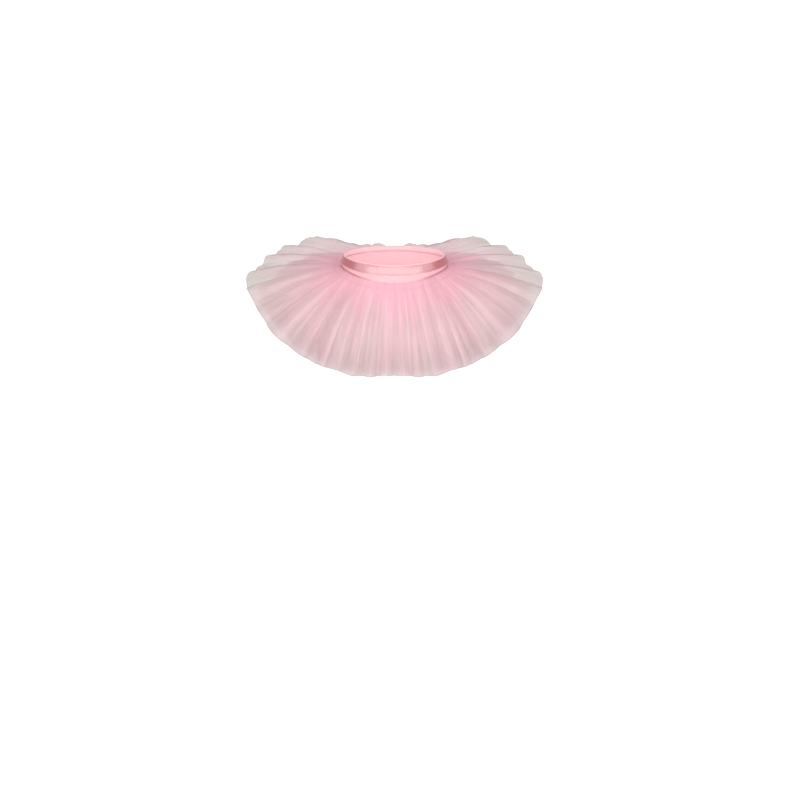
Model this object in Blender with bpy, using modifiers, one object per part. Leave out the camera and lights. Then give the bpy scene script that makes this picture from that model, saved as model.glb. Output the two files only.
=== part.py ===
"""Tutu skirt: a satin waistband, a matt yoke and four gathered layers of stiff net.

Lengths are in metres. +Z is up and the front of the skirt faces -Y. The origin is in the
middle of the waistband, at half its height in front, where the wearer holds the skirt up.
A turn round the waist starts at the centre front, goes by +X and reaches the centre back
at half a turn. The two sides mirror each other.
"""

import math

import bpy

COLLECTION_NAME = "tutu_skirt"
FULL_TURN = 2 * math.pi

# The waist is an ellipse, given at the outside of the waistband's lower edge.
WAIST_HALF_WIDTH = 0.1015
WAIST_HALF_DEPTH = 0.0800

# Pieces that are sewn together stand this far apart. A row of net stands a little further
# off the yoke, because both are made of flat facets.
SEAM_GAP = 0.0003
ROW_GAP = 0.0006

# The waistband's top edge is drawn in to the narrowest part of the waist. Both its edges
# rise from the centre front to the sides, the lower one more, and stay up round the back.
BAND_TOP = 0.01075
BAND_BOTTOM = -0.01075
BAND_TOP_RISE = 0.0045
BAND_BOTTOM_RISE = 0.0095
BAND_WALL = 0.0020
BAND_DRAWN_IN = 0.0060
BAND_CROWN = 0.0006
BAND_STEPS = 80

# The yoke is sewn inside the band's lower edge and carries the rows of net.
YOKE_WALL = 0.0012
YOKE_TUCK = 0.0050
YOKE_BELOW_ROWS = 0.0050
YOKE_SPREAD = 0.0040
YOKE_STEPS = 80

# Each layer is sewn to the yoke along a row. Rows are the same distance apart, and they
# rise from the centre front to the sides, as the band does.
NET_WALL = 0.0014
FIRST_ROW = -0.0225
ROW_SPACING = 0.0090
ROW_RISE = 0.0145

# The net springs out of its row and bends down over its length by this angle.
NET_BEND = math.radians(18.0)

# Flutes are waves across the net, shallow at the row of sewing and deep at the hem.
ROW_FLUTE_DEPTH = 0.0010
NET_SECTIONS = (0.0, 0.2, 0.5, 1.0)

# How the top layer stands at each turn from the centre front, and how deep its flutes
# are at the hem. Turn and droop are in degrees, length and depth in metres.
TOP_LAYER_STANCE = (
    # turn, droop, length, flute depth
    (0.0, 55.0, 0.179, 0.0055),
    (14.0, 54.2, 0.188, 0.0060),
    (30.0, 50.4, 0.192, 0.0070),
    (50.0, 40.7, 0.189, 0.0075),
    (65.0, 30.7, 0.185, 0.0075),
    (78.0, 18.9, 0.182, 0.0070),
    (90.0, 10.4, 0.185, 0.0060),
    (108.0, 7.3, 0.183, 0.0040),
    (119.0, 3.9, 0.182, 0.0035),
    (130.0, 1.2, 0.181, 0.0030),
    (142.0, -1.0, 0.179, 0.0030),
    (152.0, 0.9, 0.178, 0.0035),
    (162.0, 4.9, 0.177, 0.0035),
    (180.0, 6.4, 0.176, 0.0040),
)

# Each lower layer is shorter, droops more and has its own count of flutes.
NET_LAYERS = (
    # name, extra droop in degrees, share of the top layer's length, flutes, points a flute
    ("net_layer_1", 0.0, 1.00, 44, 6),
    ("net_layer_2", 7.0, 0.89, 42, 4),
    ("net_layer_3", 13.0, 0.79, 40, 4),
    ("net_layer_4", 19.0, 0.70, 38, 4),
)

# Flutes are uneven: slow waves round the skirt crowd them and change their depth. The
# push is in widths of a flute, and the change of depth in shares of it.
UNEVENNESS = (
    # waves round the skirt, push, depth change
    (5, 0.35, 0.22),
    (9, -0.18, -0.16),
    (13, 0.08, 0.14),
)

# Large folds that the flutes ride on, the same in every layer. Each is a soft ridge.
LARGE_FOLDS = (
    # turn in degrees, half its width in degrees, height at the hem in metres
    (17.0, 9.0, 0.0030),
    (42.0, 11.0, 0.0045),
    (63.0, 9.0, 0.0040),
    (82.0, 9.0, 0.0055),
    (96.0, 7.0, 0.0060),
    (114.5, 5.0, 0.0085),
    (124.0, 7.0, 0.0095),
    (139.0, 15.0, 0.0080),
    (171.0, 10.0, 0.0060),
)

FINISHES = {
    # name: base colour, roughness
    "satin": ((0.86, 0.42, 0.50, 1.0), 0.35),
    "matt_strip": ((0.90, 0.55, 0.62, 1.0), 0.80),
    "net": ((0.86, 0.60, 0.65, 1.0), 0.75),
}


def clear_scene():
    """Removes what the scene holds, so that only the skirt is left."""
    for thing in list(bpy.data.objects):
        bpy.data.objects.remove(thing, do_unlink=True)


def finish(name):
    """The material of this name, made once."""
    material = bpy.data.materials.get(name)
    if material:
        return material
    colour, roughness = FINISHES[name]
    material = bpy.data.materials.new(name)
    material.use_nodes = True
    shader = material.node_tree.nodes["Principled BSDF"]
    shader.inputs["Base Color"].default_value = colour
    shader.inputs["Roughness"].default_value = roughness
    shader.inputs["Metallic"].default_value = 0.0
    return material


def blend_rows(rows, value):
    """Reads a table whose first column grows, with smooth slopes through its rows."""
    count = len(rows)
    step = 0
    while step < count - 2 and value > rows[step + 1][0]:
        step += 1
    start, end = rows[step], rows[step + 1]
    before = rows[max(step - 1, 0)]
    after = rows[min(step + 2, count - 1)]
    span = end[0] - start[0]
    share = (value - start[0]) / span
    result = []
    for column in range(1, len(start)):
        slope_in = span * (end[column] - before[column]) / (end[0] - before[0])
        slope_out = span * (after[column] - start[column]) / (after[0] - start[0])
        if step == 0:
            slope_in = 0.0
        if step == count - 2:
            slope_out = 0.0
        square, cube = share**2, share**3
        result.append(
            (2 * cube - 3 * square + 1) * start[column]
            + (cube - 2 * square + share) * slope_in
            + (3 * square - 2 * cube) * end[column]
            + (cube - square) * slope_out
        )
    return result


def waist_frame(turn):
    """The waist ellipse at a turn: the point on it, and the way straight out of it."""
    across, ahead = math.sin(turn), -math.cos(turn)
    point = (WAIST_HALF_WIDTH * across, WAIST_HALF_DEPTH * ahead)
    out = (WAIST_HALF_DEPTH * across, WAIST_HALF_WIDTH * ahead)
    size = math.hypot(*out)
    return point, (out[0] / size, out[1] / size)


def place(turn, outset, height):
    """A point at a turn, this far out of the waist ellipse and at this height."""
    point, out = waist_frame(turn)
    return (point[0] + out[0] * outset, point[1] + out[1] * outset, height)


def half_turn(turn):
    """The turn from the centre front, the same on both sides, from 0 to half a turn."""
    return abs((turn + math.pi) % FULL_TURN - math.pi)


def side_rise(turn):
    """How far a turn is on the way up from the centre front to the sides, from 0 to 1."""
    return math.sin(min(half_turn(turn), math.pi / 2)) ** 2


def band_height(turn, share):
    """The height of the band at a turn, at a share of its width from its lower edge."""
    rise = side_rise(turn)
    bottom = BAND_BOTTOM + BAND_BOTTOM_RISE * rise
    top = BAND_TOP + BAND_TOP_RISE * rise
    return bottom + (top - bottom) * share


def band_outset(share):
    """How far the middle of the band's wall stands out of the waist ellipse, at a share
    of its width from its lower edge."""
    return -BAND_WALL / 2 - BAND_DRAWN_IN * share


def row_height(layer, turn):
    """The height of a layer's row of sewing at a turn."""
    return FIRST_ROW - ROW_SPACING * layer + ROW_RISE * side_rise(turn)


def yoke_bottom(turn):
    """The height of the yoke's lower edge at a turn, below its last row."""
    return row_height(len(NET_LAYERS) - 1, turn) - YOKE_BELOW_ROWS


def yoke_outset(turn, height):
    """How far the middle of the yoke's wall stands out of the waist ellipse. It follows
    the band's inner side behind the band, and spreads below it."""
    edge = band_height(turn, 0.0)
    width = band_height(turn, 1.0) - edge
    slant = math.hypot(1.0, BAND_DRAWN_IN / width)
    behind_band = (BAND_WALL / 2 + SEAM_GAP + YOKE_WALL / 2) * slant
    if height >= edge:
        return band_outset((height - edge) / width) - behind_band
    drop = (edge - height) / (edge - yoke_bottom(turn))
    return band_outset(0.0) - behind_band + YOKE_SPREAD * drop


def flute_turn(even_turn, flutes):
    """The turn of a point round a layer, pushed along from its even place."""
    pushed = even_turn
    for waves, push, _ in UNEVENNESS:
        pushed += push * FULL_TURN / flutes * math.sin(waves * even_turn)
    return pushed


def flute_wave(even_turn, flutes, share):
    """How far up or down its flutes a point round a layer is, in shares of their depth."""
    wave = math.cos(flutes * even_turn)
    for waves, _, change in UNEVENNESS:
        wave *= 1 + change * share * math.cos(waves * even_turn)
    return wave


def fold_height(turn, share):
    """How far the large folds lift the net at a turn, at a share of its length."""
    degrees = math.degrees(half_turn(turn))
    lift = 0.0
    for middle, half_width, height in LARGE_FOLDS:
        away = abs(degrees - middle) / half_width
        if away < 1:
            lift += height * math.cos(away * math.pi / 2) ** 2
    return lift * share


def net_point(layer, turn, share, wave):
    """A point of a layer: at this turn, at this share of its length from the row to the
    hem, and at this share of the flutes' depth."""
    _, extra_droop, length_share, _, _ = NET_LAYERS[layer]
    stance = blend_rows(TOP_LAYER_STANCE, math.degrees(half_turn(turn)))
    droop = math.radians(stance[0] + extra_droop)
    length = stance[1] * length_share
    depth = ROW_FLUTE_DEPTH + (stance[2] - ROW_FLUTE_DEPTH) * share
    lift = wave * depth + fold_height(turn, share)
    start_angle = droop - NET_BEND / 2
    angle = start_angle + NET_BEND * share
    reach = length * (math.sin(angle) - math.sin(start_angle)) / NET_BEND
    fall = length * (math.cos(start_angle) - math.cos(angle)) / NET_BEND
    row = row_height(layer, turn)
    edge = (NET_WALL / 2 + ROW_FLUTE_DEPTH) * abs(math.sin(start_angle))
    clear = YOKE_WALL / 2 + ROW_GAP + edge
    outset = yoke_outset(turn, row) + clear + reach + lift * math.sin(angle)
    return place(turn, outset, row - fall + lift * math.cos(angle))


def add_piece(name, rings, wall, material, collection):
    """A closed tube of cloth through rings of points, with its wall on both sides of
    them. The rings go outwards or downwards, so that the faces point out."""
    steps = len(rings[0])
    points = [point for ring in rings for point in ring]
    faces = []
    for row in range(len(rings) - 1):
        for step in range(steps):
            after = (step + 1) % steps
            here, below = row * steps, (row + 1) * steps
            faces.append((here + step, below + step, below + after, here + after))
    mesh = bpy.data.meshes.new(name)
    mesh.from_pydata(points, [], faces)
    mesh.materials.append(finish(material))
    mesh.shade_smooth()
    mesh.update()
    piece = bpy.data.objects.new(name, mesh)
    collection.objects.link(piece)
    thicken = piece.modifiers.new("wall", "SOLIDIFY")
    thicken.thickness = wall
    thicken.offset = 0.0
    thicken.use_even_offset = True
    thicken.use_rim = True
    return piece


def whole_turns(steps):
    """Equal turns round the waist."""
    return [FULL_TURN * step / steps for step in range(steps)]


def make_waistband(collection):
    """The satin band, with a slight crown over the elastic inside it."""
    turns = whole_turns(BAND_STEPS)
    rings = []
    for share, crown in ((1.0, 0.0), (0.5, BAND_CROWN), (0.0, 0.0)):
        outset = band_outset(share) + crown
        rings.append([place(turn, outset, band_height(turn, share)) for turn in turns])
    return add_piece("waistband", rings, BAND_WALL, "satin", collection)


def make_yoke(collection):
    """The matt strip that shows under the band in front and carries the net."""
    tuck, edge, bottom = [], [], []
    for turn in whole_turns(YOKE_STEPS):
        height = band_height(turn, 0.0)
        for ring, level in ((tuck, height + YOKE_TUCK), (edge, height), (bottom, yoke_bottom(turn))):
            ring.append(place(turn, yoke_outset(turn, level), level))
    return add_piece("yoke", [tuck, edge, bottom], YOKE_WALL, "matt_strip", collection)


def make_net_layer(layer, collection):
    """One gathered layer of net, from its row of sewing to its hem."""
    name, _, _, flutes, points_a_flute = NET_LAYERS[layer]
    rings = []
    for share in NET_SECTIONS:
        ring = []
        for even_turn in whole_turns(flutes * points_a_flute):
            turn = flute_turn(even_turn, flutes)
            wave = flute_wave(even_turn, flutes, share)
            ring.append(net_point(layer, turn, share, wave))
        rings.append(ring)
    return add_piece(name, rings, NET_WALL, "net", collection)


def main():
    """Makes the skirt in a collection of its own."""
    clear_scene()
    collection = bpy.data.collections.new(COLLECTION_NAME)
    bpy.context.scene.collection.children.link(collection)
    make_waistband(collection)
    make_yoke(collection)
    for layer in range(len(NET_LAYERS)):
        make_net_layer(layer, collection)


main()
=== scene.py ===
"""Tutu skirt: a satin waistband, a matt yoke and four gathered layers of stiff pink net.

Lengths are in metres, +Z is up and the front of the skirt faces -Y. A turn round the
waist starts at the centre front, goes by +X and reaches the centre back at half a turn.
Every piece follows the surface of the solid that it stands for, in finer steps.
"""

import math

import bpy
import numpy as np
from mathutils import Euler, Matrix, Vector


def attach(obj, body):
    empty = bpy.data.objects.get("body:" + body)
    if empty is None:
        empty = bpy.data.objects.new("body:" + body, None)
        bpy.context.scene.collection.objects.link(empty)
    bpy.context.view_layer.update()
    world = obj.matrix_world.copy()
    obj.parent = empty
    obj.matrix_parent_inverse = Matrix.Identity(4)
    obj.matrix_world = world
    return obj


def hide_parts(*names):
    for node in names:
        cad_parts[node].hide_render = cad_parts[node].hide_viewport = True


bl_info = {
    "name": "Tutu Skirt",
    "version": (1, 0, 0),
    "blender": (4, 5, 0),
    "location": "View3D > Sidebar > Tutu",
    "description": "Makes a ballet skirt of gathered net on a satin waistband",
    "category": "Object",
}

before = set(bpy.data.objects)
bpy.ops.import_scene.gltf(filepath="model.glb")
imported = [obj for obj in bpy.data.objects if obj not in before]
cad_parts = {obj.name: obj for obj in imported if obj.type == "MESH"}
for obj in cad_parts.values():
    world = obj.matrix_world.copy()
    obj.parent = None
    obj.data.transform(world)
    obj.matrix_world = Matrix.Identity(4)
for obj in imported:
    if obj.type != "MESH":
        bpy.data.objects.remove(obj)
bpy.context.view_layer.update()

FULL_TURN = 2 * math.pi
BODY = "root"

# The waist ellipse, the waistband and the yoke, as in the solids.
WAIST_HALF_WIDTH = 0.1015
WAIST_HALF_DEPTH = 0.0800
SEAM_GAP = 0.0003
ROW_GAP = 0.0006
BAND_TOP = 0.01075
BAND_BOTTOM = -0.01075
BAND_TOP_RISE = 0.0045
BAND_BOTTOM_RISE = 0.0095
BAND_WALL = 0.0020
BAND_DRAWN_IN = 0.0060
BAND_CROWN = 0.0006
YOKE_WALL = 0.0012
YOKE_TUCK = 0.0050
YOKE_BELOW_ROWS = 0.0050
YOKE_SPREAD = 0.0040

# The rows of sewing, and how the net springs out of them, as in the solids.
NET_WALL = 0.0014
FIRST_ROW = -0.0225
ROW_SPACING = 0.0090
ROW_RISE = 0.0145
NET_BEND = math.radians(18.0)
ROW_FLUTE_DEPTH = 0.0010
TOP_LAYER_STANCE = (
    # turn, droop, length, flute depth
    (0.0, 55.0, 0.179, 0.0055),
    (14.0, 54.2, 0.188, 0.0060),
    (30.0, 50.4, 0.192, 0.0070),
    (50.0, 40.7, 0.189, 0.0075),
    (65.0, 30.7, 0.185, 0.0075),
    (78.0, 18.9, 0.182, 0.0070),
    (90.0, 10.4, 0.185, 0.0060),
    (108.0, 7.3, 0.183, 0.0040),
    (119.0, 3.9, 0.182, 0.0035),
    (130.0, 1.2, 0.181, 0.0030),
    (142.0, -1.0, 0.179, 0.0030),
    (152.0, 0.9, 0.178, 0.0035),
    (162.0, 4.9, 0.177, 0.0035),
    (180.0, 6.4, 0.176, 0.0040),
)
NET_LAYERS = (
    # name, extra droop in degrees, share of the top layer's length, flutes
    ("net_layer_1", 0.0, 1.00, 44),
    ("net_layer_2", 7.0, 0.89, 42),
    ("net_layer_3", 13.0, 0.79, 40),
    ("net_layer_4", 19.0, 0.70, 38),
)
UNEVENNESS = (
    # waves round the skirt, push, depth change
    (5, 0.35, 0.22),
    (9, -0.18, -0.16),
    (13, 0.08, 0.14),
)
FLUTE_DEPTHS = (
    # waves in half a turn, start, change of depth
    (9, 0.0, 0.22),
    (16, 1.3, 0.18),
    (23, 2.1, 0.12),
)

# How deep a flute is on average, and how far each layer's pattern is shifted from the last.
MEAN_FLUTE_DEPTH = 0.52
FLUTE_SHIFT = 1.9

LARGE_FOLDS = (
    # turn in degrees, half its width in degrees, height at the hem
    (17.0, 9.0, 0.0030),
    (42.0, 11.0, 0.0045),
    (63.0, 9.0, 0.0040),
    (82.0, 9.0, 0.0055),
    (96.0, 7.0, 0.0060),
    (114.5, 5.0, 0.0085),
    (124.0, 7.0, 0.0095),
    (139.0, 15.0, 0.0080),
    (171.0, 10.0, 0.0060),
)

# Creases of the net, placed on one side and mirrored on the other. A ridge has a height over 0 and
# a trough one below it. Places along the net are shares of its length.
CREASES = (
    # turn in degrees, where it starts, where it is full, half its width, height
    (4.0, 0.35, 0.80, 0.0040, -0.0005),
    (9.5, 0.09, 0.25, 0.0042, 0.0021),
    (15.0, 0.10, 0.50, 0.0050, -0.0007),
    (21.5, 0.09, 0.20, 0.0036, 0.0026),
    (27.0, 0.15, 0.45, 0.0050, -0.0006),
    (31.5, 0.30, 0.65, 0.0038, 0.0016),
    (38.0, 0.20, 0.40, 0.0042, 0.0024),
    (44.0, 0.12, 0.40, 0.0055, -0.0007),
    (48.5, 0.22, 0.45, 0.0036, 0.0022),
    (55.0, 0.30, 0.60, 0.0045, 0.0012),
    (60.5, 0.14, 0.35, 0.0038, 0.0022),
    (67.0, 0.20, 0.55, 0.0060, -0.0007),
    (73.0, 0.25, 0.50, 0.0040, 0.0018),
    (80.0, 0.10, 0.45, 0.0050, 0.0012),
    (87.0, 0.18, 0.40, 0.0036, -0.0006),
    (92.5, 0.22, 0.55, 0.0042, 0.0020),
    (101.0, 0.12, 0.35, 0.0045, 0.0014),
    (107.0, 0.30, 0.65, 0.0050, -0.0006),
    (113.0, 0.16, 0.45, 0.0036, 0.0020),
    (121.0, 0.24, 0.50, 0.0050, 0.0012),
    (128.0, 0.12, 0.40, 0.0040, -0.0006),
    (134.0, 0.20, 0.60, 0.0038, 0.0018),
    (141.5, 0.15, 0.35, 0.0048, 0.0014),
    (149.0, 0.28, 0.55, 0.0042, -0.0006),
    (155.0, 0.14, 0.45, 0.0038, 0.0020),
    (163.0, 0.22, 0.50, 0.0050, 0.0012),
    (170.0, 0.12, 0.40, 0.0040, 0.0018),
    (176.5, 0.30, 0.65, 0.0045, -0.0005),
)

# Lower layers crease a little further round, and less. A trough shows less than a ridge.
CREASE_SHIFT = 3.3
CREASE_FADE = 0.22
CREASE_SHARPNESS = 1.5
TROUGH_MARK = -0.4

# Small gathers lie over the flutes, fewer and shallower in the lower layers. Noise round
# the skirt pushes them along and makes some stronger, and finer ones lie over them.
FEWER_GATHERS = 6
GATHER_FADE = 0.12
ROW_GATHER_DEPTH = 0.0003
GATHER_PUSH = 0.3
GATHER_DRIFT = 2.5
PUSH_SCALE = 2.6
STRENGTH_SCALE = 9.0
FINE_SCALE = 16.0
GATHER_NOISE = (0.35, 0.68)
GATHER_STRENGTH = (0.15, 1.0)
FINE_STRENGTH = (0.0, 0.12)
FINER_GATHERS = 3.0
RIDGE_ROUND = 0.015
RIDGE_SHAPE = (-2.0, 1.1)

# The gathers come free over this length, below the sewing that holds them flat: a second
# row this far down the top layer, and the only row of the others.
FREED_OVER = 0.045
HOLD_ROW = 0.0140
LOWER_HOLD = 0.0040

# Where the waistband's outer side is rolled, and where it is grooved and sewn: the middle
# and the width of each, in shares of the band's width.
BAND_ROLLS = ((0.045, 0.050), (0.955, 0.045))
BAND_GROOVES = ((0.150, 0.022), (0.860, 0.020))
BAND_GROOVE_DEPTH = 0.00004

# The satin's shine fades into its folded edges, in shares of the band's width. There it also takes
# the pale lining colour, a painted highlight along the folds that lightens the shade under their
# rolls.
EDGE_PAINTED_LIGHT = (0.035, 0.12)

# The elastic puckers the satin, most near its rows of sewing, and the yoke half as much.
# The puckers swell and are pushed along in waves, and finer ones lie over them.
PUCKER_GRIP = 0.3
GRIP_WIDTH = 0.11
YOKE_PUCKERS = 0.5
PUCKER_SWELL = (11, 1.0, 0.38)  # waves round the waist, start, share of the size
PUCKER_PUSHES = ((5, 2.6), (17, 1.3))  # waves round the waist, push
FINE_PUCKERS = (61, 0.35)  # how many more, share of the size
FINE_PUSH = (7, 0.5, 2.0)  # waves round the waist, start, push

# The yoke's edges are this round, in shares of its width. A soft fold lies this far above
# its row of net and is this wide, and all its relief fades out behind the band.
YOKE_ROUND = 0.018
YOKE_FOLD = (0.0022, 0.0009)
BEHIND_BAND = 0.002

# From the front round to the sides, the seam of the yoke and the net falls into shade.
SEAM_SHADE_TURNS = (math.radians(18.0), math.radians(48.0))
SEAM_SHADE_UP = 0.0014
SEAM_SHADE_WIDTH = 0.0016

# The centre back seam laps the band over itself, and rises to the lap over a short step.
LAP_HALF_WIDTH = 0.0055
LAP_THICKNESS = 0.0005
LAP_STEP = 0.0008

# The rows of sewing: how far a thread's middle stands out, in shares of its thickness, how
# far the back seam's two rows lie out in the lap, in shares of its half, and where the net
# is sewn on.
THREAD_STANDS = 0.4
SEAM_ROWS_OUT = 0.6
SEAM_POINTS = 12
NET_SEWN_AT = 0.0025
STITCH_SLANT = 0.12
STITCH_SEED = 3
STITCH_SIDES, STITCH_RINGS = 6, 4

# How finely each piece is made: points round it, points up a side and round an edge of a
# strip's cut end, and for a layer of net the rings from its row, where they lie closer
# together, to its hem.
BAND_COLUMNS = 720
BAND_PROFILE = (26, 5)
YOKE_PROFILE = (30, 4)
NET_GRID = ((1560, 58), (1320, 42), (1240, 38), (1160, 34))
RING_CROWDING = 1.15

# The cut: the length of the strips round the waist. The net's pattern starts this much further
# along in each layer.
BAND_LENGTH = 0.575
PATTERN_SHIFT = 0.37

# The net's shading follows its broad form more than its own folds, and the broad form
# keeps this much of the large folds.
BROAD_SHADING = 0.90
BROAD_FOLDS = 0.55

# Noise lies between these values almost everywhere.
NOISE_SPAN = (0.3, 0.7)

FINISHES = {
    # patches of uneven dye in a metre, how strong they are, roughness from and to
    "satin": (16.0, 0.04, 0.27, 0.28),
    "strip": (60.0, 0.05, 0.72, 0.88),
    "thread": (400.0, 0.12, 0.45, 0.65),
    "net": (14.0, 0.09, 0.65, 0.80),
}
WEAVES = {
    # size of a thread across and along the cloth, how high it stands
    "satin": (0.0009, 0.00035, 0.000001),
    "strip": (0.0007, 0.0007, 0.00006),
}
RIB_SHARE = 0.6
DYE_DETAIL = (3.0, 0.55)
STREAK_DETAIL = (3.0, 0.6)

# The satin reflects strongly, and its lining is rougher by this much.
SATIN_IOR = 2.3
LINING_ROUGHER = 0.4

# What a sheet of net keeps at each of its points, for its material and its gathers.
NET_MARKS = ("turn", "along", "fullness", "crease", "flute", "hem", "fray", "held", "tone")

# The net fades from pink at its root to pale at this reach. From a little below the row,
# fine and broad streaks shift the fade, and the hem stays pinker in front.
NET_REACH = 0.19
PINKEST_TO = 0.08
HALFWAY = 0.5
PINK_UNEVENNESS = (0.16, 0.38)
UNEVEN_FROM = (0.02, 0.35)
FRONT_TURN = (-0.05, 0.4)
FRONT_REACH = (0.5, 1.0)
FRONT_PINK = -0.30

# How much lighter or darker each mark makes the net. Lower layers are painted lighter, to lift the
# shade that the layers above cast on them.
LAYER_PAINTED_LIGHT = (1.0, 1.25, 1.42, 1.55)
# Painted light and shade: the gathers and the creases are lighter on their ridges and darker in
# their troughs.
GATHER_LIGHT_AND_SHADE = 0.035
CREASE_LIGHT_AND_SHADE = 0.08
# Painted light and shade: the flutes are darker on their ridges and lighter in their valleys, to
# lift the shade that the ridges cast.
FLUTE_LIGHT_AND_SHADE = -0.12
FRONT_TONE = -0.22
STREAK_TONE = 0.17
# Painted shade along the line of the second row of sewing.
HOLD_ROW_SHADE = -0.10
HEM_TONE = -0.18

# Streaks down the net, which fade towards its row, the painted shade along the line of the second
# row of sewing, and the cut edge.
STREAK_WIDTH = 0.011
STREAK_LENGTH = 0.22
BROAD_STREAKS = 7
STREAKS_FROM = (0.008, 0.026)
STREAKS_AT_ROW = 0.2
HOLD_SHADE_LINE = (0.0013, 0.0003)
HEM_EDGE = 0.0022

# The net's threads, and what adds to the share that they cover.
NET_THREAD = 0.15
NET_THREAD_HEIGHT = 0.00008
MEAN_THREADS = 0.4
THREAD_CONTRAST = 0.30
STREAK_COVER = 0.22
HEM_COVER = 0.22
HEM_DENSER = 0.18
DENSER_FROM = (0.5, 0.9)
CREASE_COVER = 0.45
MOST_COVER = 0.97
NET_SHINE = 0.12

# Threads scatter much of the light that meets them onwards, so the net's shadows are faint.
LIGHT_PASSED_ON = 0.75

# The cut edges are a little uneven, and those of the lower layers thin out.
HEM_WAVES = (
    # waves round the skirt, share of the length
    (7, 0.008),
    (17, 0.006),
    (29, 0.004),
)
FRAY_REACH = 0.022
FRAY = (0.0, 0.35, 0.35, 0.35)

# The camera looks at the skirt from this far and this high, at the middle of the picture
# a little below the skirt. The picture is square.
CAMERA_DISTANCE = 3.6
CAMERA_ELEVATION = math.radians(13.0)
CAMERA_PITCH = math.radians(17.17)
CAMERA_ASIDE = 0.01045
CAMERA_LENS = 85.26
CAMERA_SENSOR = 36.0

# Three soft panels stand in an arc behind the camera, the outer ones dimmer. An even light
# shines from overhead and a soft one from behind.
ARC_DISTANCE = 4.0
ARC_ELEVATION = math.radians(18.5)
ARC_PANELS = (
    # degrees from the front, width, share of full power
    (-61.0, 2.4, 0.13),
    (0.0, 8.2, 1.0),
    (61.0, 2.4, 0.13),
)
PANEL_HEIGHT = 1.2
BACK_LIGHT_SIZE = (3.0, 1.5)
BACK_LIGHT_PLACE = (0.0, 3.4, 1.8)
TOP_LIGHT_PLACE = (0.0, -1.1, 2.9)
TOP_LIGHT_SPREAD = math.radians(60.0)

# The floor's half size, its faint unevenness, and the room's colour. A ray may pass through
# this many layers of net.
FLOOR_HALF_SIZE = 60.0
FLOOR_PATCHES = (3.0, 4.0)
FLOOR_TONE = (0.99, 1.0)
FLOOR_ROUGHNESS = (0.75, 0.85)
ROOM_COLOUR = (1.0, 0.99, 0.98, 1.0)
SHEER_LAYERS = 64


class BandSettings(bpy.types.PropertyGroup):
    """Sizes and colours of the waistband and the yoke."""

    satin_colour: bpy.props.FloatVectorProperty(
        name="Satin Colour", description="Colour of the satin where it turns from the light",
        default=(0.41, 0.082, 0.108), subtype="COLOR", min=0.0, max=1.0)
    # Also the satin's lining, and the painted highlight on its folded edges.
    strip_colour: bpy.props.FloatVectorProperty(
        name="Strip Colour", description="Colour of the matt yoke",
        default=(0.82, 0.48, 0.515), subtype="COLOR", min=0.0, max=1.0)
    # Painted shade of the yoke deep in its seam with the net.
    seam_colour: bpy.props.FloatVectorProperty(
        name="Seam Colour", description="Colour of the yoke deep in its seam with the net",
        default=(0.50, 0.13, 0.19), subtype="COLOR", min=0.0, max=1.0)
    pucker_depth: bpy.props.FloatProperty(
        name="Pucker Depth", description="How deep the elastic puckers the satin",
        default=0.000008, unit="LENGTH", min=0.0, max=0.002)
    puckers: bpy.props.IntProperty(
        name="Puckers", description="Number of puckers round the band",
        default=150, min=0, max=400)
    roll: bpy.props.FloatProperty(
        name="Edge Roll", description="How far the folded edges stand proud",
        default=0.00012, unit="LENGTH", min=0.0, max=0.002)


class NetSettings(bpy.types.PropertyGroup):
    """Sizes and colours of the net."""

    root_colour: bpy.props.FloatVectorProperty(
        name="Colour At The Waist", description="Colour of the net where it is gathered",
        default=(0.81, 0.44, 0.518), subtype="COLOR", min=0.0, max=1.0)
    middle_colour: bpy.props.FloatVectorProperty(
        name="Colour Halfway", description="Colour of the net halfway to the hem",
        default=(0.65, 0.452, 0.482), subtype="COLOR", min=0.0, max=1.0)
    hem_colour: bpy.props.FloatVectorProperty(
        name="Colour At The Hem", description="Colour of the net at its cut edge",
        default=(0.57, 0.492, 0.465), subtype="COLOR", min=0.0, max=1.0)
    cut_width: bpy.props.FloatProperty(
        name="Cut Width", description="Length of the strip of net before it is gathered",
        default=1.62, unit="LENGTH", min=0.5, max=5.0)
    cell: bpy.props.FloatProperty(
        name="Cell", description="Size of one cell of the net",
        default=0.0015, unit="LENGTH", min=0.0003, max=0.01)
    cover: bpy.props.FloatProperty(
        name="Cover", description="Share of the ungathered net that is thread",
        default=0.71, subtype="FACTOR", min=0.0, max=1.0)
    gathers: bpy.props.IntProperty(
        name="Gathers", description="Number of small gathers round a layer",
        default=70, min=1, max=400)
    gather_depth: bpy.props.FloatProperty(
        name="Gather Depth", description="How deep the small gathers are at the hem",
        default=0.0007, unit="LENGTH", min=0.0, max=0.01)
    seed: bpy.props.IntProperty(
        name="Seed", description="Changes how the gathers fall", default=7, min=0)


class SewingSettings(bpy.types.PropertyGroup):
    """Sizes of the sewing."""

    stitch: bpy.props.FloatProperty(
        name="Stitch", description="Length of a stitch",
        default=0.0024, unit="LENGTH", min=0.0005, max=0.01)
    spacing: bpy.props.FloatProperty(
        name="Spacing", description="From one stitch to the next",
        default=0.0032, unit="LENGTH", min=0.0005, max=0.02)
    thread: bpy.props.FloatProperty(
        name="Thread", description="Thickness of the thread",
        default=0.00035, unit="LENGTH", min=0.0001, max=0.002)
    thread_colour: bpy.props.FloatVectorProperty(
        name="Thread Colour", description="Colour of the sewing thread",
        default=(0.72, 0.36, 0.43), subtype="COLOR", min=0.0, max=1.0)


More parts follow.
